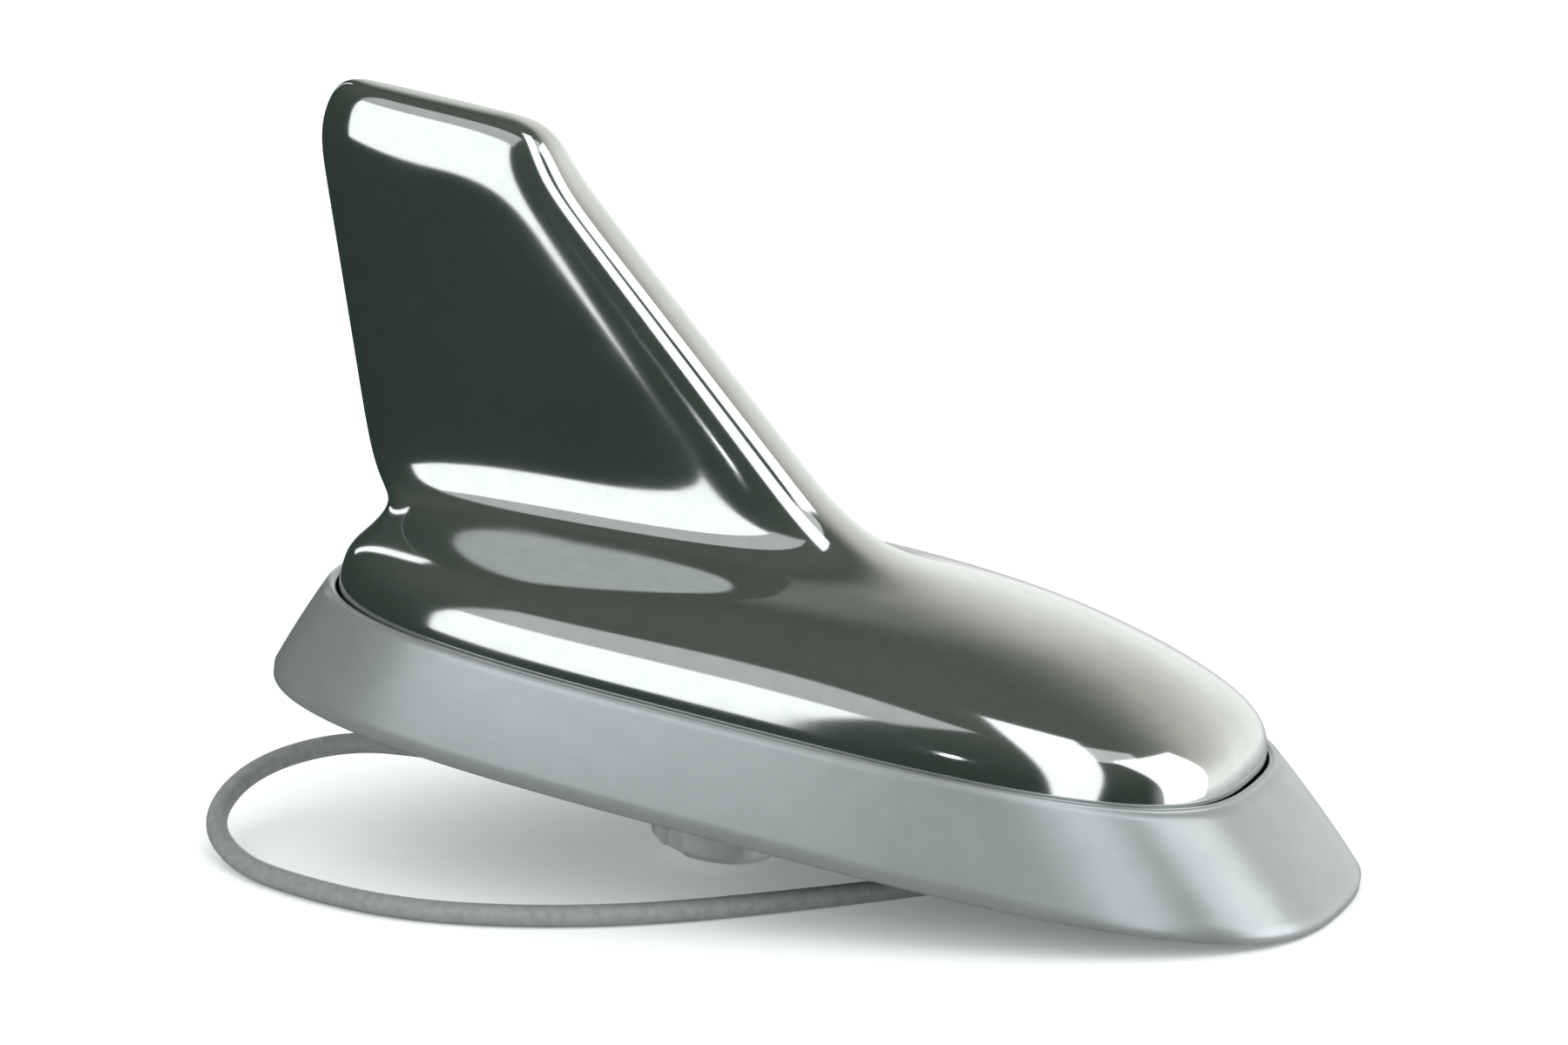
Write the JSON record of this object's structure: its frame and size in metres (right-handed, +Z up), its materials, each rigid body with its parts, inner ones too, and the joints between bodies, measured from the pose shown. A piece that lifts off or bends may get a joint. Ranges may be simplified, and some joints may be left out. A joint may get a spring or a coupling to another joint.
{
  "type": "car roof antenna",
  "caption": "Chrome fin-shaped car roof antenna with a grey rubber skirt, a mounting spigot below and a coaxial cable with an aerial plug.",
  "frame": {"origin": "on the mounting spigot's axis, in the plane of the roof that the skirt's foot rests on", "axes": "+X towards the nose, +Z up out of the roof"},
  "size_m": [0.1511, 0.0985, 0.1002],
  "materials": {
    "chrome": "mirror-bright chrome plating on a moulded cover",
    "skirt_rubber": "satin mid-grey moulded rubber",
    "die_cast": "bead-blasted die-cast metal",
    "black_rubber": "dull black rubber",
    "foam": "closed-cell foam",
    "zinc_screw": "zinc-plated steel",
    "board_green": "solder-masked glass-fibre board",
    "tin_plate": "tin-plated sheet",
    "brass": "bright brass",
    "copper": "enamelled copper wire",
    "natural_nylon": "natural nylon",
    "cable_grey": "light grey cable jacket",
    "plug_nickel": "nickel-plated turned metal"
  },
  "bodies": {
    "root": {"fin_cover": "chrome", "base_skirt": "skirt_rubber", "base_plate": "die_cast", "cover_seal": "black_rubber", "foam_pad": "foam", "cover_screws": "zinc_screw", "amplifier_board": "board_green", "board_screws": "zinc_screw", "shield_can": "tin_plate", "radiator_board": "board_green", "radiator_clips": "brass", "coil_bobbin": "natural_nylon", "coil_winding": "copper", "cable_gland": "black_rubber", "cable_tail": "cable_grey", "cable_strap": "tin_plate", "coax_cable": "cable_grey", "plug_boot": "black_rubber", "plug_shell": "plug_nickel", "plug_insulator": "natural_nylon", "plug_pin": "brass"}
  },
  "joints": []
}
